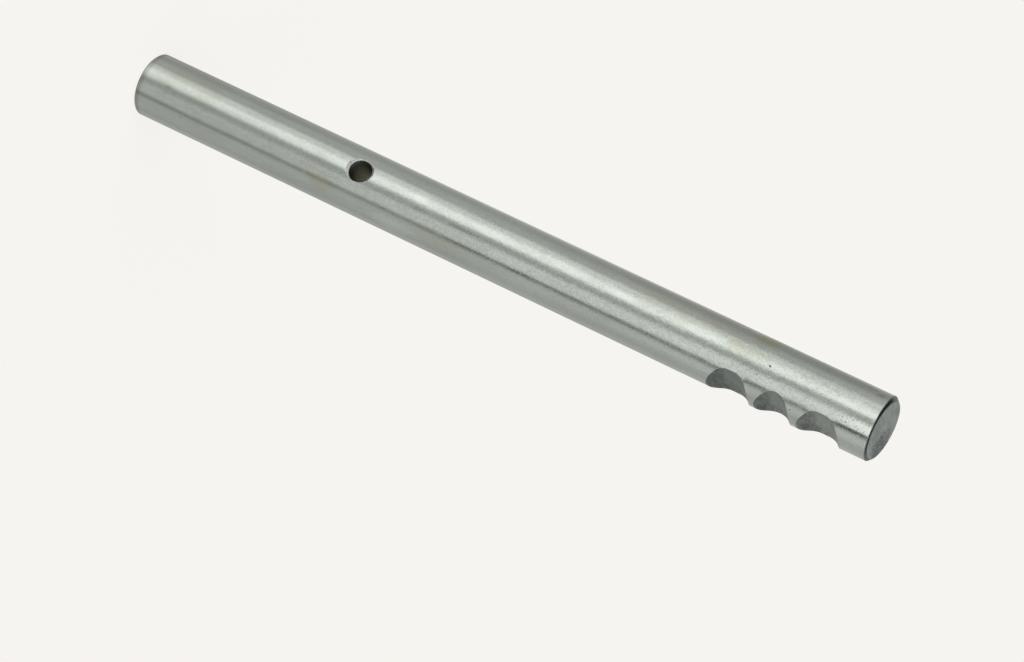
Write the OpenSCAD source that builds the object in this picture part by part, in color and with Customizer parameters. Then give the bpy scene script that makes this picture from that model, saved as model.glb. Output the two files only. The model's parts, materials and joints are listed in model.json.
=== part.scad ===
// Shift rod of a gearbox: one ground steel bar with three detent notches milled across
// one side near its end, and a countersunk cross hole for the fork's spring pin.
// The rod stands on its plain end, with the origin at the middle of that end.
// +Z runs up to the notched end, the notches face +X and the cross hole runs along Y.

/* [Bar] */
// Diameter of the ground bar
rod_d = 14; // [12:0.5:20]
// Length on the axis, from the plain end to the face of the notched end
rod_len = 176.35; // [150:0.05:260]
// Depth of the turned chamfer round the plain end
foot_chamfer = 0.4; // [0.2:0.1:2]
// Depth of the turned chamfer round the notched end, below where the face crosses the axis
head_chamfer = 0.75; // [0.5:0.05:2]
// Angle by which the sawn face of the notched end is out of square
head_slant = 4.3; // [0.2:0.1:6]
// Direction of the face's high side, turned from +X about the axis
head_slant_turn = 127; // [0:1:359]

/* [Detent notches] */
// From the face of the notched end down to the middle of the notch nearest to it
head_to_notch = 11.05; // [9:0.05:20]
// Travel of the rod from the middle notch to the one nearest the notched end
upper_step = 10.2; // [9.5:0.1:16]
// Travel of the rod from the middle notch to the one nearest the cross hole
lower_step = 10; // [9.5:0.1:16]
// Depth of the notches below the bar's surface
notch_depth = 2.7; // [1:0.1:4]
// Radius at the bottom of the notches, where the detent ball seats
notch_round_r = 3.5; // [2:0.1:5]
// Angle between a notch's flank and the straight line out through its middle
flank_angle = 45; // [35:1:55]
// Width of the flat floor in the first and last notch
end_notch_floor = 1.5; // [0:0.1:3]

/* [Cross hole] */
// Diameter of the hole through the bar for the spring pin
pin_hole_d = 5; // [3:0.1:7]
// From the plain end up to the middle of the cross hole
pin_hole_z = 55.1; // [20:0.1:90]
// Width that the 90 degree countersink adds round each mouth of the hole
countersink = 0.6; // [0.1:0.1:1.2]

/* [Hidden] */
$fn = 128;

rod_r = rod_d / 2;
// How far each cutting tool runs on past the surface that it leaves
overrun = 2;

// The taper of the head chamfer starts below the face and is one in one
head_taper_z = rod_len - head_chamfer;
head_taper_h = head_chamfer + overrun;

// Height of each notch's middle and the width of its flat floor
middle_notch_z = rod_len - head_to_notch - upper_step;
notches = [
    [middle_notch_z - lower_step, end_notch_floor],
    [middle_notch_z, 0],
    [middle_notch_z + upper_step, end_notch_floor]
];

// Turned outline of the bar, before its upper end is sawn off
module bar_blank() {
    rotate_extrude()
        polygon([
            [0, 0],
            [rod_r - foot_chamfer, 0],
            [rod_r, foot_chamfer],
            [rod_r, head_taper_z],
            [rod_r - head_taper_h, head_taper_z + head_taper_h],
            [0, head_taper_z + head_taper_h]
        ]);
}

// Waste above the sawn face, which crosses the axis at the rod's length
module sawn_off() {
    translate([0, 0, rod_len])
        rotate(head_slant_turn)
            rotate([0, -head_slant, 0])
                translate([-rod_d, -rod_d, 0])
                    cube([2 * rod_d, 2 * rod_d, 2 * head_taper_h]);
}

// Outline of the notch cutter: x points out of the bar from the notch's floor, and y runs
// along the bar. Round corners lead from the floor into the two straight flanks.
module notch_outline(floor_w) {
    // A flank leaves its round corner where the two are tangent
    corner_x = notch_round_r * (1 - sin(flank_angle));
    corner_y = floor_w / 2 + notch_round_r * cos(flank_angle);
    mouth_x = max(notch_depth, corner_x) + overrun;
    mouth_y = corner_y + (mouth_x - corner_x) * tan(flank_angle);

    for (side = floor_w > 0 ? [-1, 1] : [0])
        translate([notch_round_r, side * floor_w / 2])
            circle(r = notch_round_r);
    if (floor_w > 0)
        translate([0, -floor_w / 2])
            square([notch_round_r, floor_w]);
    polygon([
        [corner_x, -corner_y],
        [mouth_x, -mouth_y],
        [mouth_x, mouth_y],
        [corner_x, corner_y]
    ]);
}

// Waste of one notch, milled straight across the bar
module notch_cut(floor_w) {
    translate([rod_r - notch_depth, rod_r + overrun, 0])
        rotate([90, 0, 0])
            linear_extrude(rod_d + 2 * overrun)
                notch_outline(floor_w);
}

// Waste of the cross hole, with a countersink at both mouths
module pin_hole_cut() {
    csk_r = pin_hole_d / 2 + countersink;
    rotate([90, 0, 0])
        cylinder(h = rod_d + 2 * overrun, d = pin_hole_d, center = true);
    for (side = [-90, 90])
        rotate([side, 0, 0])
            translate([0, 0, rod_r - csk_r])
                cylinder(h = csk_r + overrun, r1 = 0, r2 = csk_r + overrun);
}

module shift_rod() {
    color([0.62, 0.65, 0.62])
        difference() {
            bar_blank();
            sawn_off();
            for (notch = notches)
                translate([0, 0, notch[0]])
                    notch_cut(notch[1]);
            translate([0, 0, pin_hole_z])
                pin_hole_cut();
        }
}

shift_rod();
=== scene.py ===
"""Looks of a gearbox shift rod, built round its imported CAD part.

The rod is one ground steel bar. Three detent notches are milled across one side near its
head, and a countersunk cross hole takes the fork's spring pin. It stands on its plain end:
+Z runs up to the head, the notches face +X and the cross hole runs along Y.
Lengths are in millimetres and angles in degrees, unless a name or a comment says otherwise.
"""

import json
import logging
import math
from abc import ABC, abstractmethod
from dataclasses import dataclass, field
from enum import IntEnum
from typing import Optional, Union

import bpy
import numpy as np
from mathutils import Matrix, Vector


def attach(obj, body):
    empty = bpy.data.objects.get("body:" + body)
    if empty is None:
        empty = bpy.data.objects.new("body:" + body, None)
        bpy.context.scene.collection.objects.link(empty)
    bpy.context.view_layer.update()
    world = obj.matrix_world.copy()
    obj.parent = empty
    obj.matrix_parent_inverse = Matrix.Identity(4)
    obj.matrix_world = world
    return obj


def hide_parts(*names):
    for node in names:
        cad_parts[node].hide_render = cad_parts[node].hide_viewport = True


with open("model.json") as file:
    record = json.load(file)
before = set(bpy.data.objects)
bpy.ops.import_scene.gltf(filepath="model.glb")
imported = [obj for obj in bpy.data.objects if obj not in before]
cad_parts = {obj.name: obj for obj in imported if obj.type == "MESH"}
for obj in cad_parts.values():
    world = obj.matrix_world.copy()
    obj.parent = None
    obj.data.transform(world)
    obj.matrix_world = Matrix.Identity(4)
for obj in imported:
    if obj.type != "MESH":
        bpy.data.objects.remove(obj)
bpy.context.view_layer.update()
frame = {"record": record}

METRE = 1000.0

Array = np.ndarray
Amount = Union[float, Array]
Spot = tuple[Amount, Amount]
Numbers = tuple[float, ...]
Levels = tuple[float, float, float]
Colour = tuple[float, float, float]
log = logging.getLogger("shift_rod")


class Zone(IntEnum):
    """The surfaces of the rod, in the order of the material slots."""

    GROUND = 0
    MILLED = 1
    BORE = 2
    TURNED = 3
    SAWN = 4
    CONE = 5


@dataclass(frozen=True)
class NotchSize:
    """One detent notch, milled straight across the bar.

    Its outline is a flat floor, a round corner at each end of it, and two straight flanks
    that are tangent to the corners.
    """

    z: float
    floor_x: float
    floor_w: float
    corner_r: float = 3.5
    flank_angle: float = 45.0

    def corner_end(self) -> tuple[float, float]:
        """Where a flank starts: its rise above the floor and its way from the middle."""
        slope = math.radians(self.flank_angle)
        rise = self.corner_r * (1 - math.sin(slope))
        return rise, self.floor_w / 2 + self.corner_r * math.cos(slope)

    def half_width(self, x: Array) -> Array:
        """Half the notch's width along the bar, where its surface is x from the axis.

        Up the round corner the width grows as a circle's chord does, and from the corner's
        end it grows in proportion to the rise.

        Args:
            x: Distances from the bar's axis, measured along +X.

        Returns:
            The half widths, which are 0 below the floor.
        """
        rise = np.clip(x - self.floor_x, 0, None)
        end_rise, end_way = self.corner_end()
        left = np.clip(self.corner_r - rise, 0, None)
        corner = self.floor_w / 2 + np.sqrt(self.corner_r**2 - left**2)
        flank = end_way + (rise - end_rise) * math.tan(math.radians(self.flank_angle))
        return np.where(x < self.floor_x, 0, np.where(rise < end_rise, corner, flank))

    def surface_x(self, z: Array) -> Array:
        """Distance of the notch's surface from the bar's axis, along +X, at a height.

        It is the floor's, plus the sagitta of the round corner, and from the corner's end
        it rises in proportion to the way along the bar.

        Args:
            z: Heights in the rod's own frame.

        Returns:
            The distances along +X.
        """
        way = np.clip(np.abs(z - self.z) - self.floor_w / 2, 0, None)
        end_rise, end_way = self.corner_end()
        end_way -= self.floor_w / 2
        near = np.clip(way, 0, end_way)
        corner = self.corner_r - np.sqrt(self.corner_r**2 - near**2)
        flank = end_rise + (way - end_way) / math.tan(math.radians(self.flank_angle))
        return self.floor_x + np.where(way < end_way, corner, flank)


@dataclass(frozen=True)
class RodSizes:
    """Sizes of the rod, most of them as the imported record's mounts state them."""

    radius: float
    foot_chamfer: float
    head_taper_z: float
    pin_r: float
    pin_z: float
    notches: tuple[NotchSize, ...]
    head_chamfer: float = 0.75
    head_slant: float = 4.3
    head_slant_turn: float = 127.0
    countersink: float = 0.6

    @property
    def length(self) -> float:
        """Length on the axis, from the plain end to the sawn face."""
        return self.head_taper_z + self.head_chamfer

    @property
    def notch_tip(self) -> float:
        """Angle from +X at which the notches' floors come out of the bar's side."""
        return math.degrees(math.acos(self.notches[0].floor_x / self.radius))

    @classmethod
    def of_record(cls, record: dict) -> "RodSizes":
        """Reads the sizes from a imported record.

        Args:
            record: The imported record, whose mounts are in metres and millimetres.

        Returns:
            The rod's sizes in millimetres.
        """
        mounts = {mount["name"]: mount for mount in record["mounts"]}
        shaft, pin = mounts["shaft"], mounts["pin_hole"]
        middle_z = shaft["pos_m"][2] * METRE
        half_length = shaft["dims"]["length_mm"] / 2
        floors = {"detent_lower": 1.5, "detent_middle": 0.0, "detent_upper": 1.5}
        notches = [
            NotchSize(
                z=mounts[name]["pos_m"][2] * METRE,
                floor_x=mounts[name]["pos_m"][0] * METRE,
                floor_w=floor_w,
            )
            for name, floor_w in floors.items()
        ]
        return cls(
            radius=shaft["dims"]["r_mm"],
            foot_chamfer=middle_z - half_length,
            head_taper_z=middle_z + half_length,
            pin_r=pin["dims"]["r_mm"],
            pin_z=pin["pos_m"][2] * METRE,
            notches=tuple(notches),
        )


@dataclass(frozen=True)
class SkinDetail:
    """How finely the skin is divided, and the small forms that its edges have.

    The columns go round the bar and the rings along it. What a field's name calls shares
    are parts of a radius or of a way, and what it calls leads are numbers of stretches
    from the rings before to the next form. Each burr step is a ring's way out from the
    notch's edge, its share of the burr's height, and its nearness to the edge, which the
    finishes paint lighter as wear and painted highlight.
    """

    notch_columns: int = 64
    shoulder_turns: Numbers = (0.25, 0.75, 1.3)
    window_turn: float = 36.0
    window_columns: int = 48
    back_columns: int = 36

    foot_face_shares: Numbers = (0.2, 0.5, 0.75, 0.92)
    foot_chamfer_shares: Numbers = (0.5,)
    foot_collars: Numbers = (0.25, 0.7)
    plain_start: float = 1.8
    plain_step: float = 3.2
    window_reach: float = 5.0
    window_rows: int = 24
    notch_rows: int = 18
    notch_gap: float = 0.5
    notch_leads: tuple[int, ...] = (2, 4, 4)
    head_gap: float = 0.45
    head_lead: int = 5
    head_chamfer_shares: Numbers = (0.15, 0.5, 0.85)
    head_face_shares: Numbers = (0.93, 0.8, 0.62, 0.42, 0.2)
    mouth_shares: Numbers = (0.24, 0.46, 0.66, 0.84, 1.0)
    bore_depths: Numbers = (5.9, 5.2, 4.2, 2.8, 1.2)

    edge_soft: float = 0.1
    notch_edge_soft: float = 0.06
    rim_soft: float = 0.07
    burr_height: float = 0.02
    rim_burr_height: float = 0.04
    burr_steps: tuple[Numbers, ...] = ((0.26, 0.0, 0.0), (0.17, 0.35, 0.5), (0.11, 1.0, 1.0))
    tip_reach: float = 0.35
    back_reach: float = 2.6
    back_turn: float = 60.0
    least_cosine: float = 0.2
    sharp_angle: float = 32.0
    seed: int = 11


@dataclass
class Ring:
    """One ring of the skin, with a value for each column."""

    r: Array
    z: Array
    edge: Array
    zone: Array


def bend(start: Spot, corner: Spot, end: Spot, steps: int = 4) -> list[Spot]:
    """Points of the round bend that softens a corner.

    The bend is the quadratic curve (1-t)^2 start + 2t(1-t) corner + t^2 end, which is
    tangent to both legs of the corner.

    Args:
        start: First point, as two numbers or arrays.
        corner: The sharp corner that the bend replaces.
        end: Last point.
        steps: Number of stretches along the bend.

    Returns:
        The steps + 1 points, in order.
    """
    points = []
    for t in np.linspace(0, 1, steps + 1):
        weights = ((1 - t) ** 2, 2 * t * (1 - t), t**2)
        points.append(
            tuple(sum(w * p[i] for w, p in zip(weights, (start, corner, end))) for i in (0, 1))
        )
    return points


def rough_line(turns: Array, seed: int, waves: int = 40) -> Array:
    """An uneven line round the rod, from 0 to 1, that closes on itself.

    It is a sum of cosines of whole wave numbers, whose sizes and phases are seeded.

    Args:
        turns: Angles in degrees.
        seed: Seed of the sizes and phases.
        waves: Highest wave number.

    Returns:
        One value for each angle.
    """
    rng = np.random.default_rng(seed)
    numbers = np.arange(2, waves)
    sizes = rng.uniform(0.3, 1.0, numbers.size) / np.sqrt(numbers)
    phases = rng.uniform(0, 2 * np.pi, numbers.size)
    waves_at = np.cos(np.outer(np.radians(turns), numbers) + phases)
    line = waves_at @ sizes / np.sqrt((sizes**2).sum())
    return np.clip(0.5 + 0.35 * line, 0, 1)


class RodSkin:
    """The rod's whole surface as one closed mesh.

    Rings are stacked from the middle of the plain end to the middle of the sawn face. In
    the notches they follow the mouths' edges. Two windows in the rings hold the mouths of
    the cross hole, which are joined through the bar.
    """

    def __init__(self, sizes: RodSizes, detail: SkinDetail) -> None:
        """Sets up the columns that every ring shares.

        Args:
            sizes: The rod's sizes.
            detail: How finely it is divided.
        """
        self.sizes = sizes
        self.detail = detail
        self.turns = self.column_turns()
        self.cos = np.cos(np.radians(self.turns))
        self.count = self.turns.size
        self.points: list[Array] = []
        self.edges: list[Array] = []
        self.quads: list[Array] = []
        self.quad_zones: list[Array] = []
        self.fans: list[Array] = []
        self.fan_zones: list[Array] = []
        self.total = 0

    def column_turns(self) -> Array:
        """Angles of the columns, from -180 up, mirrored about the notches' middle.

        In the notches they follow the tip's angle times the sine of even steps, so that
        they crowd towards the tips.
        """
        d, tip = self.detail, self.sizes.notch_tip
        notch = tip * np.sin(np.linspace(-np.pi / 2, np.pi / 2, d.notch_columns + 1))
        shoulder = tip + np.array(d.shoulder_turns)
        window = np.linspace(90 - d.window_turn, 90 + d.window_turn, d.window_columns + 1)
        back = np.linspace(90 + d.window_turn, 180, d.back_columns + 1)[1:]
        side = np.concatenate([shoulder, window, back])
        return np.concatenate([-side[::-1], notch, side[:-1]])

    def ring(self, r: Amount, z: Amount, zone: Zone, edge: Amount = 0.0) -> Ring:
        """A ring from numbers or arrays.

        Args:
            r: Radius at each column.
            z: Height at each column.
            zone: Surface that lies above the ring.
            edge: Nearness to an edge, from 0 to 1, which the finishes paint lighter as wear and
                painted highlight.

        Returns:
            The ring, with an array for each of them.
        """
        blank = np.zeros(self.count)
        return Ring(blank + r, blank + z, blank + edge, np.full(self.count, int(zone)))

    def foot_rings(self) -> list[Ring]:
        """The plain end: a flat face, a turned chamfer and softened corners."""
        s, d = self.sizes, self.detail
        soft = d.edge_soft
        inner, slope = s.radius - s.foot_chamfer, soft / math.sqrt(2)
        lower = bend((inner - soft, 0), (inner, 0), (inner + slope, slope))
        upper = bend(
            (s.radius - slope, s.foot_chamfer - slope),
            (s.radius, s.foot_chamfer),
            (s.radius, s.foot_chamfer + soft),
        )
        rings = [self.ring(share * inner, 0, Zone.TURNED) for share in d.foot_face_shares]
        rings += self.chamfer_rings(lower, upper, d.foot_chamfer_shares)
        rings[-1].zone[:] = Zone.GROUND
        return rings

    def chamfer_rings(self, lower: list[Spot], upper: list[Spot], shares: Numbers) -> list[Ring]:
        """The turned rings of a chamfer and of the softened corners on both sides of it.

        Args:
            lower: The r and z of each ring on the lower corner.
            upper: The same on the upper corner.
            shares: Places of the rings between, as shares of the straight way.

        Returns:
            The rings, from the lowest up.
        """
        (r, z), (end_r, end_z) = lower[-1], upper[0]
        spots = [(r + t * (end_r - r), z + t * (end_z - z)) for t in shares]
        rings = [self.ring(*spot, Zone.TURNED, 1) for spot in lower]
        rings += [self.ring(*spot, Zone.TURNED) for spot in spots]
        return rings + [self.ring(*spot, Zone.TURNED, 1) for spot in upper]

    def plain_rings(self, low: float, high: float) -> list[Ring]:
        """Even rings on the ground bar, from low up to but not at high."""
        steps = max(1, round((high - low) / self.detail.plain_step))
        heights = np.linspace(low, high, steps + 1)[:-1]
        return [self.ring(self.sizes.radius, z, Zone.GROUND) for z in heights]

    def notch_rings(self, notch: NotchSize, seed: int) -> list[Ring]:
        """The rings of one notch, which follow the two edges of its mouth.

        At each column the mouth's edge is where the notch's surface reaches the bar's
        radius times the cosine of the column's angle. Past the notch's tips the rings draw
        apart by a smooth step of that angle. The edge is softened, and beside it the bar
        is raised into a fine uneven burr.

        Args:
            notch: The notch's sizes.
            seed: Seed of its burrs.

        Returns:
            The rings from below the notch to above it.
        """
        s, d = self.sizes, self.detail
        angle = np.abs(self.turns)
        mouth = notch.half_width(s.radius * self.cos)
        past_tip = np.clip((angle - s.notch_tip) / d.back_turn, 0, 1)
        least = d.tip_reach + d.back_reach * past_tip**2 * (3 - 2 * past_tip)
        mouth = np.maximum(mouth, np.maximum(notch.floor_w / 2, least))
        opened = np.where(angle < s.notch_tip, 1.0, 0.0)
        cosine = np.clip(self.cos, d.least_cosine, 1)

        def section(z: Array) -> Array:
            """Radius at each column where the notch is cut, and the bar's elsewhere."""
            cut = notch.surface_x(z) / cosine
            return np.where(opened > 0, np.minimum(s.radius, cut), s.radius)

        soft = np.minimum(d.notch_edge_soft, 0.3 * mouth)
        sides = []
        for side in (-1, 1):
            burr = d.burr_height * rough_line(self.turns, seed + side) * opened
            burr = np.minimum(burr, s.radius / cosine - s.radius)
            rings = []
            for out, rise, edge in d.burr_steps:
                z = notch.z + side * (mouth + out)
                rings.append(self.ring(s.radius + burr * rise, z, Zone.GROUND, opened * edge))
            inside = notch.z + side * (mouth - soft)
            lip = bend(
                (s.radius + burr * 0.8, notch.z + side * (mouth + soft)),
                (s.radius + burr * 0.2, notch.z + side * mouth),
                (section(inside), inside),
            )
            sides.append(rings + [self.ring(*spot, Zone.GROUND, opened) for spot in lip])
        below, above = sides
        inner = []
        for share in np.linspace(-1, 1, d.notch_rows + 1)[1:-1]:
            z = notch.z + share * (mouth - soft)
            inner.append(self.ring(section(z), z, Zone.GROUND))
        lip_start = len(d.burr_steps) + 1
        for ring in below[lip_start:] + inner + above[lip_start + 1:]:
            ring.zone = self.notch_zones()
        log.info("notch at %.1f mm: %d rings inside its mouth", notch.z, len(inner))
        return below + inner + above[::-1]

    def notch_zones(self) -> Array:
        """Milled between the tips and ground past them, for the face after each column."""
        middle = (self.turns + np.roll(self.turns, -1)) / 2
        inside = np.abs(middle) < self.sizes.notch_tip
        inside[-1] = False
        return np.where(inside, int(Zone.MILLED), int(Zone.GROUND))

    def head_rings(self) -> list[Ring]:
        """The head: a turned chamfer, cut off by a face that is out of square.

        The chamfer narrows one in one above its start. The face's height is the length
        plus the slant's tangent times the way towards its high side, so the two meet at
        the radius left by the chamfer, divided by one plus that tangent's share.
        """
        s, d = self.sizes, self.detail
        soft = d.edge_soft
        slope = soft / math.sqrt(2)
        tilt = math.tan(math.radians(s.head_slant))
        share = tilt * np.cos(np.radians(self.turns - s.head_slant_turn))
        rim_r = (s.radius - s.head_chamfer) / (1 + share)
        rim_z = s.length + share * rim_r
        start_z = s.head_taper_z
        face_r = rim_r - soft
        lower = bend(
            (s.radius, start_z - soft), (s.radius, start_z), (s.radius - slope, start_z + slope)
        )
        upper = bend(
            (rim_r + slope, rim_z - slope), (rim_r, rim_z), (face_r, s.length + share * face_r)
        )
        rings = self.chamfer_rings(lower, upper, d.head_chamfer_shares)
        rings[-1].zone[:] = Zone.SAWN
        for part in d.head_face_shares:
            rings.append(self.ring(part * face_r, s.length + share * part * face_r, Zone.SAWN))
        return rings

    def stack(self) -> tuple[list[Ring], int]:
        """All rings in order, and the number of the first one at the cross hole."""
        s, d = self.sizes, self.detail
        low, high = s.pin_z - d.window_reach, s.pin_z + d.window_reach
        rings = self.foot_rings()
        rings += [self.ring(s.radius, s.foot_chamfer + up, Zone.GROUND) for up in d.foot_collars]
        rings += self.plain_rings(d.plain_start, low)
        first = len(rings)
        heights = np.linspace(low, high, d.window_rows + 1)
        rings += [self.ring(s.radius, z, Zone.GROUND) for z in heights]
        notch_stacks = [self.notch_rings(n, d.seed * (i + 1)) for i, n in enumerate(s.notches)]
        lowest = notch_stacks[0][0].z.min()
        rings += self.plain_rings(high, lowest - d.notch_gap)[1:]
        for stack, steps in zip(notch_stacks, d.notch_leads):
            rings += self.blended(rings[-1], stack[0], steps) + stack
        collar = self.ring(s.radius, s.head_taper_z - d.head_gap, Zone.GROUND)
        rings += self.blended(rings[-1], collar, d.head_lead)
        return rings + [collar] + self.head_rings(), first

    def blended(self, lower: Ring, upper: Ring, steps: int) -> list[Ring]:
        """Rings between two others on the ground bar, at even shares of the way."""
        lower.zone[:] = Zone.GROUND
        return [
            self.ring(self.sizes.radius, lower.z + t * (upper.z - lower.z), Zone.GROUND)
            for t in np.linspace(0, 1, steps + 1)[1:-1]
        ]

    def add_points(self, points: Array, edge: Array) -> Array:
        """Adds points and returns their numbers, in the shape of the edge values."""
        numbers = self.total + np.arange(edge.size).reshape(edge.shape)
        self.points.append(points.reshape(-1, 3))
        self.edges.append(edge.ravel())
        self.total += edge.size
        return numbers

    def add_band(self, lower: Array, upper: Array, zone: Union[Zone, Array],
                 keep: Optional[Array] = None) -> None:
        """Adds the quads between two closed loops.

        Args:
            lower: Point numbers of the first loop.
            upper: Point numbers of the second, which lies to the left of the first's run.
            zone: Surface of each quad.
            keep: Which quads to add, or all of them.
        """
        quads = np.stack([lower, np.roll(lower, -1), np.roll(upper, -1), upper], axis=1)
        zones = np.zeros(lower.size, int) + zone
        kept = slice(None) if keep is None else keep
        self.quads.append(quads[kept])
        self.quad_zones.append(zones[kept])

    def add_fan(self, middle: Array, loop: Array, zone: Zone) -> None:
        """Adds the triangles from a closed loop to the point in its middle."""
        fan = np.stack([loop, np.roll(loop, -1), np.full(loop.size, middle[0])], axis=1)
        self.fans.append(fan)
        self.fan_zones.append(np.full(loop.size, int(zone)))

    def window_columns(self, side: int) -> tuple[int, int]:
        """First and last column of the cross hole's window on the -Y or the +Y side."""
        middle = int(np.argmin(np.abs(self.turns - 90 * side)))
        half = self.detail.window_columns // 2
        return middle - half, middle + half

    def build_stack(self) -> tuple[Array, int]:
        """Adds the rings, leaving the two windows open.

        Returns:
            The point numbers by ring and column, and the number of the windows' first ring.
        """
        rings, first = self.stack()
        r = np.stack([ring.r for ring in rings])
        z = np.stack([ring.z for ring in rings])
        angle = np.radians(self.turns)
        points = np.stack([r * np.cos(angle), r * np.sin(angle), z], axis=-1)
        numbers = self.add_points(points, np.stack([ring.edge for ring in rings]))
        for row, ring in enumerate(rings[:-1]):
            keep = np.ones(self.count, bool)
            if first <= row < first + self.detail.window_rows:
                for side in (-1, 1):
                    start, stop = self.window_columns(side)
                    keep[start:stop] = False
            self.add_band(numbers[row], numbers[row + 1], ring.zone, keep)
        ends = np.array([[0, 0, 0], [0, 0, self.sizes.length]], float)
        poles = self.add_points(ends, np.zeros(2))
        self.add_fan(poles[:1], numbers[0][::-1], Zone.TURNED)
        self.add_fan(poles[1:], numbers[-1], Zone.SAWN)
        return numbers, first

    def window_loop(self, numbers: Array, first: int, side: int) -> Array:
        """Point numbers round a window, anticlockwise as seen from outside."""
        start, stop = self.window_columns(side)
        last = first + self.detail.window_rows
        return np.concatenate([
            numbers[first, start:stop],
            numbers[first:last, stop],
            numbers[last, stop:start:-1],
            numbers[last:first:-1, start],
        ])

    def mouth_loops(self, loop: Array, side: int, seed: int) -> list[tuple[Array, Array, Zone]]:
        """The loops of one mouth, from its window inwards to the bore's wall.

        In the half plane at an angle phi about the hole, the bar's surface lies
        sqrt(R^2 - (rho cos phi)^2) from the middle plane, and the countersink's cone lies
        R - c + rho from it, where c is the cone's radius at the bar's crest. They meet at
        the rim, which is nearest to the hole's axis across the bar. Round the hole c varies
        by 15 % of the countersink's width. The rim's edge value, painted lighter as wear and
        painted highlight, is highest towards the foot and the side away from the notches.

        Args:
            loop: Point numbers round the window.
            side: -1 for the mouth at -Y, 1 for the mouth at +Y.
            seed: Seed of the rim's burr.

        Returns:
            For each loop its points, their edge values, and the zone outside it.
        """
        s, d = self.sizes, self.detail
        window = np.concatenate(self.points)[loop]
        flat = window[:, [0, 2]] - [0, s.pin_z]
        phi = np.arctan2(flat[:, 1], flat[:, 0])
        ray = np.stack([np.cos(phi), np.sin(phi)], axis=1)
        across = ray[:, 0] ** 2
        ragged = rough_line(np.degrees(phi), seed, 24)
        cone_r = s.pin_r + s.countersink * (0.85 + 0.3 * ragged)
        drop = cone_r - s.radius
        root = np.sqrt(drop**2 + (1 + across) * (s.radius**2 - drop**2))
        rim = (drop + root) / (1 + across)
        soft = np.minimum(d.rim_soft, 0.35 * (rim - s.pin_r))
        # Edge value of the rim: wear, with a painted highlight on the side towards the foot and
        # away from the notches
        wear_and_sheen = np.clip(0.3 - ray @ (0.5, 0.8), 0.05, 1) * (0.6 + 0.8 * ragged)
        zero, bore = np.zeros(loop.size), np.full(loop.size, s.pin_r)

        def surface(x: Array) -> Array:
            """Distance of the bar's surface from the middle plane."""
            return np.sqrt(s.radius**2 - x**2)

        def at(rho: Array, depth: Array) -> Array:
            """Points at a distance from the hole's axis and from the middle plane."""
            return self.mouth_points(rho[:, None] * ray, depth, side)

        loops = []
        beside, outer = rim + 0.2, rim + 0.3
        for share in d.mouth_shares:
            flat_at = (1 - share) * flat + share * outer[:, None] * ray
            points = self.mouth_points(flat_at, surface(flat_at[:, 0]), side)
            loops.append((points, zero, Zone.GROUND))
        loops.append((at(beside, surface(beside * ray[:, 0])), 0.5 * wear_and_sheen, Zone.GROUND))
        crest = surface((rim + soft) * ray[:, 0])
        burr = d.rim_burr_height * rough_line(np.degrees(phi), seed + 1, 30) ** 2
        burr = np.minimum(burr, s.radius - crest)
        wall = s.radius - cone_r
        rim_bend = bend(
            (rim + soft, crest + burr), (rim, wall + rim), (rim - soft, wall + rim - soft)
        )
        loops += [(at(*spot), wear_and_sheen, Zone.GROUND) for spot in rim_bend]
        edge_depth = wall + s.pin_r
        bore_bend = bend(
            (bore + soft, edge_depth + soft), (bore, edge_depth), (bore, edge_depth - soft)
        )
        zones = (Zone.CONE, Zone.CONE, Zone.CONE, Zone.BORE, Zone.BORE)
        loops += [(at(*spot), 0.3 * wear_and_sheen, zone) for spot, zone in zip(bore_bend, zones)]
        loops += [(at(bore, zero + depth), zero, Zone.BORE) for depth in d.bore_depths]
        return loops

    def mouth_points(self, flat: Array, depth: Array, side: int) -> Array:
        """Points from places in the middle plane, which is square to the hole, and distances."""
        return np.stack([flat[:, 0], side * depth, flat[:, 1] + self.sizes.pin_z], axis=1)

    def build_cross_hole(self, numbers: Array, first: int) -> None:
        """Adds both mouths of the cross hole and joins them through the bar."""
        last_loops = []
        for side in (-1, 1):
            loop = self.window_loop(numbers, first, side)
            for points, edge, zone in self.mouth_loops(loop, side, self.detail.seed + side):
                inner = self.add_points(points, edge)
                self.add_band(loop, inner, zone)
                loop = inner
            last_loops.append(loop)
        near, far = last_loops
        facing = (self.detail.window_columns - np.arange(far.size)) % far.size
        self.add_band(near, far[facing], Zone.BORE)

    def build(self, name: str) -> bpy.types.Object:
        """Makes the mesh, without the points that no face uses, and its object.

        Args:
            name: Name of the object and its mesh.

        Returns:
            The object, at the origin, with its points in metres.
        """
        numbers, first = self.build_stack()
        self.build_cross_hole(numbers, first)
        quads, fans = np.concatenate(self.quads), np.concatenate(self.fans)
        corners = np.concatenate([quads.ravel(), fans.ravel()])
        used, order = np.unique(corners, return_inverse=True)
        quads, fans = order[:quads.size].reshape(-1, 4), order[quads.size:].reshape(-1, 3)
        points = np.concatenate(self.points)[used] / METRE
        faces = quads.tolist() + fans.tolist()
        zones = np.concatenate(self.quad_zones + self.fan_zones).astype(np.int32)
        mesh = bpy.data.meshes.new(name)
        mesh.from_pydata(points.tolist(), [], faces)
        mesh.polygons.foreach_set("material_index", zones)
        mesh.polygons.foreach_set("use_smooth", np.ones(len(faces), bool))
        edge = mesh.attributes.new("edge", "FLOAT", "POINT")
        edge.data.foreach_set("value", np.concatenate(self.edges)[used].astype(np.float32))
        mesh.set_sharp_from_angle(angle=math.radians(self.detail.sharp_angle))
        mesh.update()
        piece = bpy.data.objects.new(name, mesh)
        bpy.context.scene.collection.objects.link(piece)
        log.info("%s: %d points, %d faces", name, len(points), len(faces))
        return piece


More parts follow.
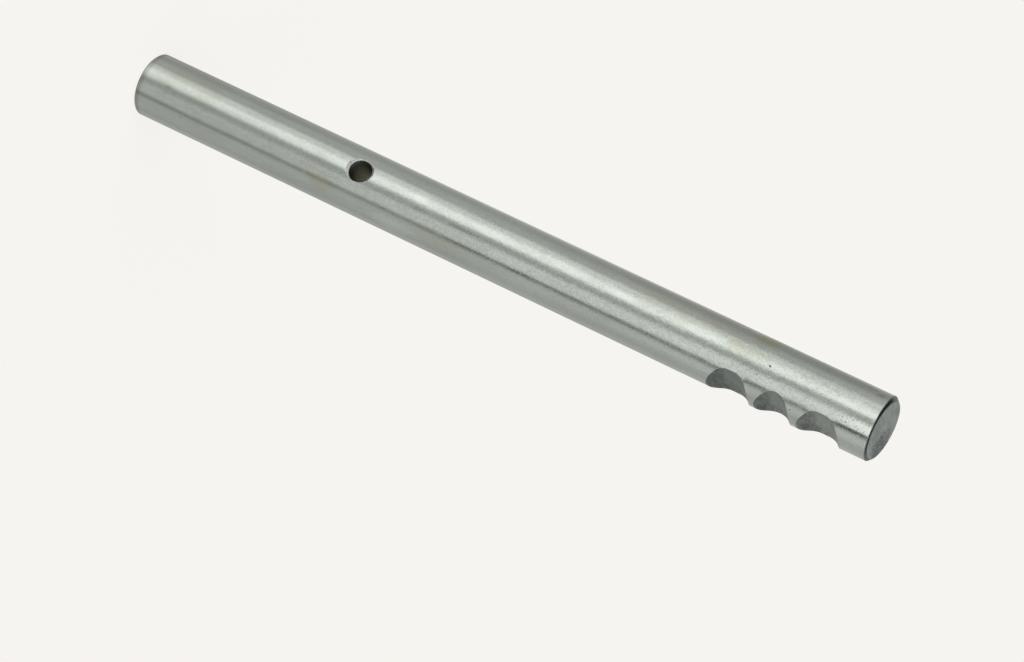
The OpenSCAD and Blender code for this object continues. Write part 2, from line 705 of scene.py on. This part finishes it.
class Signal:
    """A value that flows through a shader, with the arithmetic of numbers."""

    def __init__(self, graph: "NodeGraph", socket: bpy.types.NodeSocket) -> None:
        """Wraps an output socket of a graph."""
        self.graph = graph
        self.socket = socket

    def math(self, operation: str, *values: "Value") -> "Signal":
        """A Math node on this value and up to two more."""
        return self.graph.math(operation, self, *values)

    def __add__(self, other: "Value") -> "Signal":
        """This value plus another."""
        return self.math("ADD", other)

    __radd__ = __add__

    def __sub__(self, other: "Value") -> "Signal":
        """This value less another."""
        return self.math("SUBTRACT", other)

    def __rsub__(self, other: "Value") -> "Signal":
        """Another value less this one."""
        return self.graph.math("SUBTRACT", other, self)

    def __mul__(self, other: "Value") -> "Signal":
        """This value times another."""
        return self.math("MULTIPLY", other)

    __rmul__ = __mul__

    def __abs__(self) -> "Signal":
        """This value without its sign."""
        return self.math("ABSOLUTE")

    def off(self, angle: float) -> "Signal":
        """How far this angle lies past another, from -180 to 180 degrees."""
        return (self - angle).math("WRAP", 180.0, -180.0)

    def ramp(self, low: float, high: float) -> "Signal":
        """A smooth step from 0, where this value is low, to 1, where it is high."""
        ends = {"Value": self, "From Min": low, "From Max": high}
        smooth = {"interpolation_type": "SMOOTHSTEP"}
        return self.graph.signal("Result", "ShaderNodeMapRange", ends, smooth)


Value = Union[Signal, float]


class NodeGraph:
    """The nodes of one material or world."""

    def __init__(self, tree: bpy.types.NodeTree) -> None:
        """Empties the tree and takes it over."""
        self.tree = tree
        tree.nodes.clear()

    def node(self, kind: str, inputs: Optional[dict] = None,
             settings: Optional[dict] = None) -> bpy.types.Node:
        """Makes a node.

        Args:
            kind: Blender's name for the type of node.
            inputs: Values or signals, by the socket's name or number.
            settings: Properties, which are set first.

        Returns:
            The node.
        """
        node = self.tree.nodes.new(kind)
        for key, value in (settings or {}).items():
            setattr(node, key, value)
        for key, value in (inputs or {}).items():
            socket = node.inputs[key]
            if isinstance(value, Signal):
                self.tree.links.new(value.socket, socket)
            elif socket.type == "RGBA":
                socket.default_value = (*value, 1.0)
            else:
                socket.default_value = value
        return node

    def signal(self, output: Union[int, str], kind: str, inputs: Optional[dict] = None,
               settings: Optional[dict] = None) -> Signal:
        """Makes a node and wraps the output of that name or number."""
        return Signal(self, self.node(kind, inputs, settings).outputs[output])

    def math(self, operation: str, *values: Value) -> Signal:
        """A Math node on up to three values."""
        inputs = dict(enumerate(values))
        return self.signal(0, "ShaderNodeMath", inputs, {"operation": operation})

    def mix(self, share: Value, first: Union[Colour, Signal],
            second: Union[Colour, Signal]) -> Signal:
        """A colour that goes from the first to the second as the share grows."""
        inputs = {0: share, 6: first, 7: second}
        return self.signal(2, "ShaderNodeMix", inputs, {"data_type": "RGBA"})

    def parts(self, vector: Signal) -> tuple[Signal, ...]:
        """The x, y and z of a vector."""
        outputs = self.node("ShaderNodeSeparateXYZ", {0: vector}).outputs
        return tuple(Signal(self, part) for part in outputs)

    def turn(self, x: Signal, y: Signal) -> Signal:
        """The angle about the axis, in degrees from +X towards +Y."""
        return self.math("ARCTAN2", y, x) * (180 / math.pi)

    def way(self, x: Signal, y: Signal) -> Signal:
        """The way from the axis, which is the square root of x squared plus y squared."""
        return self.math("SQRT", x * x + y * y)


class Place:
    """Where a point lies on the rod, worked out from its Object coordinates."""

    def __init__(self, graph: NodeGraph) -> None:
        """Works out the way along each axis, the turn and the nearness to an edge, which the
        finishes paint lighter as wear and painted highlight.
        """
        self.graph = graph
        self.vector = graph.signal("Object", "ShaderNodeTexCoord")
        metres = graph.parts(self.vector)
        self.turn = graph.turn(*metres[:2])
        self.x, self.y, self.height = (part * METRE for part in metres)
        self.edge = graph.signal("Fac", "ShaderNodeAttribute", None, {"attribute_name": "edge"})

    def noise(self, scale: float, detail: float, rough: float,
              stretch: Colour = (1.0, 1.0, 1.0), shift: float = 0.0) -> Signal:
        """Cloudy noise of about 0 to 1.

        Args:
            scale: Features in each metre.
            detail: Number of finer layers.
            rough: Strength of the finer layers.
            stretch: Factor on each coordinate, below 1 for longer features.
            shift: Moves the pattern, so that no two of them are alike.

        Returns:
            The noise.
        """
        moved = {"Vector": self.vector, "Location": (shift, -shift, shift), "Scale": stretch}
        inputs = {"Scale": scale, "Detail": detail, "Roughness": rough}
        inputs["Vector"] = self.graph.signal(0, "ShaderNodeMapping", moved)
        return self.graph.signal("Fac", "ShaderNodeTexNoise", inputs)

    def patch(self, oval: "Oval", ragged: Signal) -> Signal:
        """An oval mark on the bar's side. Tarnish, smears, specks, wear and painted glints are made
        of such marks.

        It fades as the squared way from its middle, in half widths and half heights, goes
        from 0.2 to 1. Noise breaks up its outline and its middle.

        Args:
            oval: Its place, size and strength.
            ragged: Noise of about 0 to 1 that is added to the squared way.

        Returns:
            The strength, from 0 to the stain's own.
        """
        off = self.turn.off(oval.turn) * (1 / oval.wide)
        up = (self.height - oval.height) * (1 / oval.tall)
        way = off * off + up * up + ragged * 4.0 - 2.0
        return way.ramp(1.0, 0.2) * oval.strength

    def patches(self, ovals: tuple["Oval", ...], ragged: Signal) -> Signal:
        """The sum of several ovals."""
        first, *others = (self.patch(oval, ragged) for oval in ovals)
        return sum(others, first)


def scaled(colour: Colour, factor: float) -> Colour:
    """A colour with each of its parts times a factor."""
    return tuple(factor * part for part in colour)


@dataclass(frozen=True)
class Finish(ABC):
    """A surface finish. Each kind of finish paints its own colour, roughness and relief."""

    name: str
    colour: Colour
    roughness: float
    anisotropic: float = 0.0

    def make(self) -> bpy.types.Material:
        """Makes the finish's material."""
        material = bpy.data.materials.new(self.name)
        material.use_nodes = True
        material.diffuse_color = (*self.colour, 1.0)
        graph = NodeGraph(material.node_tree)
        inputs = {"Metallic": 1.0, "Anisotropic": self.anisotropic, "Anisotropic Rotation": 0.25}
        inputs |= self.paint(graph, Place(graph))
        shader = graph.signal("BSDF", "ShaderNodeBsdfPrincipled", inputs)
        graph.node("ShaderNodeOutputMaterial", {"Surface": shader})
        return material

    @abstractmethod
    def paint(self, graph: NodeGraph, place: Place) -> dict:
        """The shader's inputs that this finish sets."""

    def sockets(self, graph: NodeGraph, colour: Signal, roughness: Value, height: Signal) -> dict:
        """The inputs for a colour, a roughness and a relief whose height is in millimetres."""
        relief = {"Height": height, "Distance": 1 / METRE}
        normal = graph.signal("Normal", "ShaderNodeBump", relief)
        return {"Base Color": colour, "Roughness": roughness, "Normal": normal}

    def varied(self, graph: NodeGraph, shade: Signal, contrast: float) -> Signal:
        """The finish's own colour, from darker to lighter as a shade goes from 0 to 1."""
        darker, lighter = scaled(self.colour, 1 - contrast), scaled(self.colour, 1 + contrast)
        return graph.mix(shade, darker, lighter)


@dataclass(frozen=True)
class Oval:
    """A soft oval on the bar's side: its middle's turn and height, half sizes and strength."""

    turn: float
    height: float
    wide: float
    tall: float
    strength: float


@dataclass(frozen=True)
class GroundFinish(Finish):
    """The ground side of the bar, with tarnish, rust specks, handling marks and wear, painted
    glints, painted edge highlights, and a painted dark line along a reflected dark band.
    """

    tarnish: Colour = (0.37, 0.36, 0.26)
    olive: Colour = (0.20, 0.205, 0.15)
    speck: Colour = (0.08, 0.084, 0.072)
    # Colour of smears of dirt and of a painted dark line
    shade_and_grime: Colour = (0.13, 0.137, 0.115)
    # Colour of wear, painted glints and painted edge highlights
    wear_and_sheen: Colour = (0.56, 0.59, 0.55)
    used_turn: float = -77.0
    used_per_mm: float = 0.006
    ovals: tuple[Oval, ...] = (
        Oval(turn=-142, height=149.5, wide=24, tall=4.2, strength=1.0),
        Oval(turn=-125, height=132, wide=40, tall=18, strength=0.35),
        Oval(turn=-92, height=146, wide=16, tall=6, strength=0.4),
        Oval(turn=-40, height=47.5, wide=22, tall=3.5, strength=0.55),
        Oval(turn=-30, height=77, wide=30, tall=6, strength=0.3),
        Oval(turn=-115, height=10, wide=40, tall=12, strength=0.3),
    )
    dots: tuple[Oval, ...] = (
        Oval(turn=-65, height=150.2, wide=1.8, tall=0.25, strength=0.6),
        Oval(turn=-86, height=151.9, wide=2.0, tall=0.32, strength=0.9),
        Oval(turn=-33.5, height=158.8, wide=1.8, tall=0.25, strength=0.7),
        Oval(turn=-38.4, height=12.2, wide=4.0, tall=0.6, strength=0.2),
    )
    crowds: tuple[Oval, ...] = (
        Oval(turn=-48, height=172, wide=4, tall=8, strength=1.2),
        Oval(turn=-62, height=172, wide=9, tall=7, strength=0.8),
        Oval(turn=-88, height=174, wide=22, tall=5, strength=0.5),
        Oval(turn=-70, height=136, wide=40, tall=9, strength=0.3),
        Oval(turn=-48, height=100, wide=5, tall=22, strength=0.5),
    )
    # Smears of dirt; the ones near a turn of -48 join into a painted dark line along a reflected
    # dark band
    smudges_and_dark_line: tuple[Oval, ...] = (
        Oval(turn=-48.3, height=172, wide=3.4, tall=7, strength=0.85),
        Oval(turn=-47.8, height=148, wide=3.0, tall=9, strength=0.3),
        Oval(turn=-47.6, height=108, wide=3.2, tall=27, strength=0.22),
        Oval(turn=-47.5, height=96.5, wide=3.5, tall=3.5, strength=0.35),
        Oval(turn=-47.5, height=83.5, wide=3.5, tall=7, strength=0.3),
        Oval(turn=-72.5, height=81.5, wide=3.5, tall=4, strength=0.25),
        Oval(turn=-73, height=71, wide=3, tall=1.8, strength=0.25),
        Oval(turn=-79, height=7.2, wide=3.5, tall=1.5, strength=0.2),
        Oval(turn=-127, height=173.8, wide=7, tall=1.2, strength=0.3),
        Oval(turn=-136, height=171.5, wide=5, tall=2, strength=0.2),
    )
    # Light patches of wear with painted glints, most of them near a turn of -88 along a reflected
    # bright band
    rubs_and_glints: tuple[Oval, ...] = (
        Oval(turn=-60.5, height=174.5, wide=10, tall=6, strength=1.2),
        Oval(turn=-86, height=172, wide=9, tall=6, strength=0.35),
        Oval(turn=-24, height=66, wide=16, tall=6, strength=0.55),
        Oval(turn=-89, height=69.5, wide=6, tall=2.5, strength=0.5),
        Oval(turn=-88, height=118, wide=7, tall=4, strength=0.45),
        Oval(turn=-88, height=88, wide=8, tall=6, strength=0.3),
        Oval(turn=-90, height=106, wide=10, tall=5, strength=0.3),
        Oval(turn=-92, height=136, wide=12, tall=6, strength=0.35),
    )

    def paint(self, graph: NodeGraph, place: Place) -> dict:
        """Paints the grey and what lies on it.

        The marks of use are strongest on the side at the used turn, and the fine ones grow
        in proportion to the way from the plain end.
        """
        clouds = place.noise(90, 4, 0.55)
        mottle = place.noise(420, 5, 0.65, (1.0, 1.0, 0.5), 0.7)
        streaks = place.noise(700, 3, 0.6, (1.0, 1.0, 0.06), 0.3)
        peel = place.noise(1500, 4, 0.7, (1.0, 1.0, 0.7), 0.15)
        grains = place.noise(2800, 3, 0.7, shift=0.9)
        side = abs(place.turn - self.used_turn).ramp(44, 24) * 0.55 + 0.45
        used = (place.height * self.used_per_mm + 0.1).math("MINIMUM", 0.95) * side
        fine = (grains * 0.7 + peel * 0.3 - 0.5) * used
        shade = (clouds + streaks - 1.0) * 0.16 + (mottle + peel - 1.0) * side * 0.14 + fine
        colour = self.varied(graph, shade.ramp(-0.15, 0.15), 0.14)
        stained = place.patches(self.ovals, mottle)
        colour = graph.mix(stained * (mottle * 0.6 + 0.5), colour, self.tarnish)
        foot_rim = place.height.ramp(1.9, 0.5) * (mottle * 0.5 + 0.6)
        colour = graph.mix(foot_rim * 0.7, colour, self.olive)
        # Smears of dirt, and a painted dark line near a turn of -48 along a reflected dark band
        colour = graph.mix(place.patches(self.smudges_and_dark_line, grains), colour, self.shade_and_grime)
        crowd = place.patches(self.crowds, mottle) + used * 0.5
        specks = (grains + crowd * 0.105).ramp(0.71, 0.78)
        dark = specks * 0.5 + place.patches(self.dots, grains)
        colour = graph.mix(dark, colour, self.speck)
        # Light patches of wear and painted glints, broken into fine grains
        rubs_and_glints = place.patches(self.rubs_and_glints, grains)
        # Edges and light patches are painted lighter: wear and painted highlight
        wear_and_highlight = place.edge * mottle.ramp(0.4, 0.7) * 0.6 + rubs_and_glints * 0.65
        colour = graph.mix(wear_and_highlight, colour, self.wear_and_sheen)
        roughness = streaks * 0.06 + mottle * 0.06 + self.roughness + dark * 0.3 + stained * 0.05
        sway = place.noise(110, 2, 0.5, (1.0, 1.0, 0.5), 0.4)
        relief = (mottle * 0.035 + peel * 0.035 + grains * 0.01) * used
        height = sway * 0.1 + relief + streaks * 0.002 - dark * 0.02
        return self.sockets(graph, colour, roughness, height)


@dataclass(frozen=True)
class MilledFinish(Finish):
    """The notches: oiled steel, lighter towards the head. In each notch painted shade lies towards
    the foot and a painted sheen at the edge towards the head.
    """

    light: Colour = (0.25, 0.285, 0.25)
    # Colour of the painted shade in the notches, and of their dark pits
    shade_and_grime: Colour = (0.06, 0.068, 0.06)
    # Colour of the painted sheen at each notch's edge towards the head
    wear_and_sheen: Colour = (0.36, 0.39, 0.355)
    wear_and_highlight: Colour = (0.45, 0.48, 0.44)
    lighter_z: tuple[float, float] = (143.0, 162.0)
    middles: Numbers = ()

    def paint(self, graph: NodeGraph, place: Place) -> dict:
        """Paints the dark steel, painted shade, dark pits and the cutter's marks across the bar.

        In each notch the painted shade lies below the middle, and on the far side it reaches
        further up. A painted sheen lies at the edge towards the head.
        """
        clouds = place.noise(330, 4, 0.6, shift=0.4)
        smears = place.noise(1300, 4, 0.65, (1.0, 0.35, 1.0), 0.2)
        marks = place.noise(2200, 2, 0.6, (1.0, 0.05, 1.0), 0.2)
        lighter = place.height.ramp(*self.lighter_z) * 0.65 + smears.ramp(0.42, 0.62) * 0.3
        colour = graph.mix(lighter, self.colour, self.light)
        # Painted shade grows towards the far side, +Y
        far_side_shade = place.y.ramp(-1.0, 5.0) * 0.55
        shade_and_grime = wear_and_sheen = 0.0
        for middle in self.middles:
            up = place.height - middle
            # Painted shade on the wall towards the foot, and on the far side further up
            shade_and_grime = shade_and_grime + abs(up + 3.4).ramp(2.6, 0.6) * 0.6
            shade_and_grime = shade_and_grime + abs(up + 1.5).ramp(4.2, 2.0) * far_side_shade
            # Painted sheen at the edge towards the head
            wear_and_sheen = wear_and_sheen + abs(up - 4.4).ramp(1.4, 0.7)
        pits = place.noise(2400, 3, 0.7, shift=0.6).ramp(0.58, 0.7)
        # The painted shade is broken up by the smears, and dark pits are added
        shade_and_grime = shade_and_grime * (smears.ramp(0.6, 0.4) * 0.6 + 0.4) + pits * 0.35
        colour = graph.mix(shade_and_grime, colour, self.shade_and_grime)
        colour = graph.mix(wear_and_sheen * 0.85, colour, self.wear_and_sheen)
        # Edges painted lighter: wear and painted highlight
        colour = graph.mix(place.edge * clouds.ramp(0.45, 0.65) * 0.4, colour, self.wear_and_highlight)
        height = marks * 0.006 + clouds * 0.03 + smears * 0.04 - pits * 0.02
        return self.sockets(graph, colour, clouds * 0.15 + self.roughness, height)


@dataclass(frozen=True)
class HoleFinish(Finish):
    """A finish of the cross hole, which differs towards the foot and towards the head."""

    hole_z: float = 0.0

    def across(self, place: Place) -> Signal:
        """The way from the hole's axis towards the head, plus half the way towards +X."""
        return place.x * 0.5 + (place.height - self.hole_z)


@dataclass(frozen=True)
class BoreFinish(HoleFinish):
    """The cross hole's wall: near black at its mouths and olive brown inside."""

    inside: Colour = (0.165, 0.16, 0.08)
    lit: Colour = (0.36, 0.37, 0.31)

    def paint(self, graph: NodeGraph, place: Place) -> dict:
        """Paints the dark wall, stained olive brown inside. Painted light lies on the mouths
        towards the foot.
        """
        clouds = place.noise(500, 4, 0.6, shift=0.6)
        outwards = abs(place.y)
        deep = (outwards + clouds * 3.0).ramp(6.5, 2.5)
        colour = graph.mix(deep, self.colour, self.inside)
        mouth = outwards.ramp(4.6, 6.2) * clouds.ramp(0.25, 0.55)
        # Painted light on the mouths, towards the foot and away from the notches
        colour = graph.mix(mouth * self.across(place).ramp(0.5, -1.0), colour, self.lit)
        return self.sockets(graph, colour, self.roughness, clouds * 0.04)


@dataclass(frozen=True)
class ConeFinish(HoleFinish):
    """The countersinks: cut rough, so light and matt, with dirt in places."""

    dirt: Colour = (0.16, 0.165, 0.14)
    shade_grey: Colour = (0.33, 0.35, 0.32)
    metallic: float = 0.3

    def paint(self, graph: NodeGraph, place: Place) -> dict:
        """Paints the light cut and its dirt, with painted shade towards the notches and the head.
        """
        clouds = place.noise(900, 4, 0.65, shift=0.35)
        colour = graph.mix(clouds.ramp(0.5, 0.68) * 0.5, self.colour, self.dirt)
        # Painted shade towards the notches and the head
        colour = graph.mix(self.across(place).ramp(-1.5, 1.5), colour, self.shade_grey)
        inputs = self.sockets(graph, colour, self.roughness, clouds * 0.03)
        return inputs | {"Metallic": self.metallic}


@dataclass(frozen=True)
class TurnedFinish(Finish):
    """The chamfers and the plain end, with turning marks. The head's chamfer is oiled dark, with
    painted shade that makes it black over a part of its round.
    """

    oiled: Colour = (0.15, 0.157, 0.147)
    black: Colour = (0.02, 0.022, 0.019)
    wear_and_highlight: Colour = (0.6, 0.63, 0.59)
    feed: float = 0.22
    head_from: float = 100.0
    shade_turn: float = -113.0
    lit_gap_turn: float = -160.0

    def paint(self, graph: NodeGraph, place: Place) -> dict:
        """Paints the steel and its turning marks, which follow the way from the axis.

        The head's chamfer is oiled dark. Painted shade makes it black over a part of its round, and
        painted light thins the dark colour near another turn.
        """
        rings = (graph.way(place.x, place.y) * (2 * math.pi / self.feed)).math("SINE")
        clouds = place.noise(300, 3, 0.6, shift=0.8)
        colour = graph.mix(clouds.ramp(0.35, 0.7), self.colour, scaled(self.colour, 0.75))
        head = place.height.ramp(self.head_from, self.head_from + 1)
        # Painted shade: black over a part of the head chamfer's round
        shade_core = abs(place.turn - self.shade_turn).ramp(32, 17)
        oil_and_shade = graph.mix(shade_core * clouds.ramp(0.25, 0.45), self.oiled, self.black)
        # Painted light: near this turn the dark colour of the head's chamfer thins
        lit_gap = abs(place.turn.off(self.lit_gap_turn)).ramp(34, 12)
        colour = graph.mix(head * (lit_gap * -0.7 + 0.9), colour, oil_and_shade)
        # Edges painted lighter: wear and painted highlight
        colour = graph.mix(place.edge * clouds.ramp(0.35, 0.6) * 0.3, colour, self.wear_and_highlight)
        roughness = head * 0.2 + self.roughness
        return self.sockets(graph, colour, roughness, rings * 0.003 + clouds * 0.006)


@dataclass(frozen=True)
class SawnFinish(Finish):
    """The head's face: matt, grey and rough, with dark pits towards one side."""

    pit: Colour = (0.17, 0.185, 0.175)
    # Near white: the painted highlight of the face's edge, with its wear
    wear_and_highlight: Colour = (0.95, 0.98, 0.95)
    pitted_at: tuple[float, float] = (2.6, 3.2)
    arc_step: float = 0.9

    def paint(self, graph: NodeGraph, place: Place) -> dict:
        """Paints the matt face, its pits and the faint arcs that a tool left."""
        grain = place.noise(2400, 4, 0.7, shift=0.5)
        clouds = place.noise(320, 4, 0.65, shift=0.1)
        scrapes = place.noise(900, 4, 0.6, (1.0, 0.3, 1.0), 0.45)
        shade = grain * 0.3 + clouds * 0.3 + scrapes * 0.4
        colour = self.varied(graph, shade.ramp(0.38, 0.62), 0.18)
        off_x, off_y = place.x - self.pitted_at[0], place.y - self.pitted_at[1]
        near = (off_x * off_x + off_y * off_y + clouds * 16.0).ramp(36.0, 10.0)
        pits = (grain + near * 0.16).ramp(0.58, 0.67)
        colour = graph.mix(pits * 0.85, colour, self.pit)
        # Edges painted near white: painted highlight and wear
        colour = graph.mix(place.edge * scrapes.ramp(0.4, 0.6) * 0.4, colour, self.wear_and_highlight)
        waves = (graph.way(place.x, place.y) * (2 * math.pi / self.arc_step)).math("SINE")
        arcs = waves * clouds.ramp(0.4, 0.6)
        height = grain * 0.05 + arcs * 0.006 - pits * 0.05
        return self.sockets(graph, colour, self.roughness, height)


@dataclass(frozen=True)
class ShiftRod:
    """The rod: its skin and the finish of each of its surfaces."""

    sizes: RodSizes
    detail: SkinDetail = field(default_factory=SkinDetail)

    def finishes(self) -> dict[Zone, Finish]:
        """The finish of each surface."""
        middles = tuple(notch.z for notch in self.sizes.notches)
        hole_z = self.sizes.pin_z
        return {
            Zone.GROUND: GroundFinish("ground_steel", (0.394, 0.424, 0.386), 0.14, 0.4),
            Zone.MILLED: MilledFinish("milled_steel", (0.14, 0.16, 0.142), 0.34, middles=middles),
            Zone.BORE: BoreFinish("bore_steel", (0.13, 0.135, 0.10), 0.5, hole_z=hole_z),
            Zone.TURNED: TurnedFinish("turned_steel", (0.30, 0.315, 0.29), 0.26),
            Zone.SAWN: SawnFinish("sawn_steel", (0.595, 0.65, 0.62), 0.55),
            Zone.CONE: ConeFinish("countersunk_steel", (0.9, 0.93, 0.89), 0.6, hole_z=hole_z),
        }

    def build(self) -> bpy.types.Object:
        """Builds the skin, dresses it and puts it in the place of the CAD node."""
        piece = RodSkin(self.sizes, self.detail).build("rod_skin")
        finishes = self.finishes()
        for zone in Zone:
            piece.data.materials.append(finishes[zone].make())
        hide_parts("shift_rod")
        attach(piece, "root")
        return piece


@dataclass(frozen=True)
class Panel:
    """A tall soft box, or a dark screen, that stands round the rod from floor to ceiling.

    Its levels are what it adds to the studio's own, in the directions in which the rod's
    foot, middle and head mirror it towards the camera.
    """

    turn: float
    half_width: float
    soft: float
    levels: Levels


@dataclass(frozen=True)
class Studio:
    """The camera, the pale floor and the soft light round the rod."""

    aim: tuple[float, float, float] = (12.62, 7.15, 96.89)
    distance: float = 629.6
    azimuth: float = 17.0
    elevation: float = 19.8
    roll: float = -115.8
    lens: float = 108.29
    pale: Colour = (0.921, 0.905, 0.871)
    ambient: Levels = (0.7, 0.74, 0.77)
    mirrored: tuple[float, float] = (-27.8, -12.9)
    ceiling: float = 0.08
    ceiling_fade: tuple[float, float] = (0.36, 0.8)
    floor_half_m: float = 2.0
    floor_fade_m: tuple[float, float] = (0.05, 0.4)
    floor_glow: float = 0.84
    floor_matt: float = 0.45
    panels: tuple[Panel, ...] = (
        Panel(turn=-163, half_width=14, soft=10, levels=(0.08, 0.03, 0.0)),
        Panel(turn=-114.5, half_width=27.5, soft=6, levels=(0.5, 0.6, 0.5)),
        Panel(turn=-122, half_width=6, soft=4, levels=(0.16, 0.0, 0.0)),
        Panel(turn=-105.5, half_width=13.5, soft=3.5, levels=(0.33, 0.8, 0.2)),
        Panel(turn=-95, half_width=7, soft=4, levels=(-0.3, 0.05, 0.35)),
        Panel(turn=-76, half_width=9, soft=6, levels=(-0.11, 0.0, -0.05)),
        Panel(turn=-47.7, half_width=17.7, soft=4, levels=(0.0, 0.42, 0.8)),
        Panel(turn=-20.5, half_width=6, soft=4, levels=(-0.28, -0.25, -0.5)),
        Panel(turn=2, half_width=14, soft=10, levels=(0.0, 0.05, 0.3)),
        Panel(turn=56, half_width=22, soft=12, levels=(-0.06, -0.06, -0.03)),
        Panel(turn=95, half_width=16, soft=9, levels=(-0.17, -0.22, -0.1)),
        Panel(turn=122, half_width=16, soft=9, levels=(-0.27, 0.1, -0.1)),
        Panel(turn=166, half_width=25, soft=15, levels=(-0.15, -0.11, -0.32)),
    )

    def build(self) -> None:
        """Sets up the camera, the world and the floor."""
        self.make_camera()
        self.make_world()
        self.make_floor()
        bpy.context.scene.view_settings.view_transform = "Standard"

    def make_camera(self) -> bpy.types.Object:
        """Makes the camera of the photograph's view.

        It looks from the azimuth and elevation at the aim, and is rolled about its line of
        sight, so that the upright rod lies across the picture.
        """
        turn, up = math.radians(self.azimuth), math.radians(self.elevation)
        back = Vector((math.sin(turn) * math.cos(up), -math.cos(turn) * math.cos(up), math.sin(up)))
        data = bpy.data.cameras.new("camera")
        data.lens = self.lens
        camera = bpy.data.objects.new("camera", data)
        level = (-back).to_track_quat("-Z", "Y").to_matrix()
        rolled = level @ Matrix.Rotation(-math.radians(self.roll), 3, "Z")
        place = (Vector(self.aim) + back * self.distance) / METRE
        camera.matrix_world = Matrix.Translation(place) @ rolled.to_4x4()
        bpy.context.scene.collection.objects.link(camera)
        bpy.context.scene.camera = camera
        return camera

    def make_world(self) -> None:
        """Makes the studio's light, which depends on the direction alone.

        The ambient level and each panel's go through their three values as the direction
        rises. A panel's share is 1 within its half width of its own turn and falls off
        smoothly. Towards the zenith all of it fades to the dark ceiling. The camera sees a
        pale ground instead.
        """
        world = bpy.data.worlds.new("studio")
        world.use_nodes = True
        bpy.context.scene.world = world
        graph = NodeGraph(world.node_tree)
        x, y, z = graph.parts(graph.signal("Generated", "ShaderNodeTexCoord"))
        turn = graph.turn(x, y)
        low_z, high_z = (math.sin(math.radians(angle)) for angle in self.mirrored)
        rise = (z - low_z) * (1 / (high_z - low_z))
        foot, head = rise.ramp(0.5, 0.0), rise.ramp(0.5, 1.0)

        def at_rise(levels: Levels) -> Signal:
            """The middle level, led over to the first below it and to the last above it."""
            low, middle, high = levels
            return foot * (low - middle) + head * (high - middle) + middle

        level = at_rise(self.ambient)
        for panel in self.panels:
            outer, inner = panel.half_width + panel.soft, panel.half_width - panel.soft
            share = abs(turn.off(panel.turn)).ramp(outer, inner)
            level = level + share * at_rise(panel.levels)
        fade = z.ramp(*self.ceiling_fade)
        level = level * (1 - fade) + fade * self.ceiling
        seen = graph.signal("Is Camera Ray", "ShaderNodeLightPath")
        grey = graph.signal(0, "ShaderNodeCombineXYZ", {0: level, 1: level, 2: level})
        colour = graph.mix(seen, grey, self.pale)
        shader = graph.signal(0, "ShaderNodeBackground", {"Color": colour, "Strength": 1.0})
        graph.node("ShaderNodeOutputWorld", {"Surface": shader})

    def make_floor(self) -> bpy.types.Object:
        """Makes the pale floor under the rod.

        The camera sees a glow of the pale colour plus a share of matt paint, which keeps
        the rod's shadow. Where nothing shades it, the two add up to the pale colour. The
        matt share fades with the way from the rod, and the steel mirrors the studio in the
        floor's place.
        """
        half = self.floor_half_m
        corners = [(-half, -half, 0), (half, -half, 0), (half, half, 0), (-half, half, 0)]
        mesh = bpy.data.meshes.new("floor")
        mesh.from_pydata(corners, [], [(0, 1, 2, 3)])
        floor = bpy.data.objects.new("floor", mesh)
        bpy.context.scene.collection.objects.link(floor)
        material = bpy.data.materials.new("pale_floor")
        material.use_nodes = True
        graph = NodeGraph(material.node_tree)
        x, y, _ = graph.parts(graph.signal("Object", "ShaderNodeTexCoord"))
        far = graph.way(x, y).ramp(*self.floor_fade_m)
        paint = graph.mix(far, scaled(self.pale, self.floor_matt), (0.0, 0.0, 0.0))
        light = graph.mix(far, scaled(self.pale, self.floor_glow), self.pale)
        painted = graph.signal(0, "ShaderNodeBsdfDiffuse", {"Color": paint})
        glow = graph.signal(0, "ShaderNodeEmission", {"Color": light, "Strength": 1.0})
        shade = graph.signal(0, "ShaderNodeAddShader", {0: painted, 1: glow})
        matt = graph.signal(0, "ShaderNodeBsdfDiffuse", {"Color": self.pale})
        seen = graph.signal("Is Camera Ray", "ShaderNodeLightPath")
        looked = graph.signal(0, "ShaderNodeMixShader", {0: seen, 1: matt, 2: shade})
        clear = graph.signal(0, "ShaderNodeBsdfTransparent")
        mirror = graph.signal("Is Glossy Ray", "ShaderNodeLightPath")
        result = graph.signal(0, "ShaderNodeMixShader", {0: mirror, 1: looked, 2: clear})
        graph.node("ShaderNodeOutputMaterial", {"Surface": result})
        floor.data.materials.append(material)
        return floor


def main() -> None:
    """Builds the rod and the studio round it."""
    logging.basicConfig(level=logging.INFO, format="%(message)s")
    rod = ShiftRod(RodSizes.of_record(frame["record"])).build()
    log.info("%s: %d materials", rod.name, len(rod.data.materials))
    Studio().build()


if __name__ == "__main__":
    main()
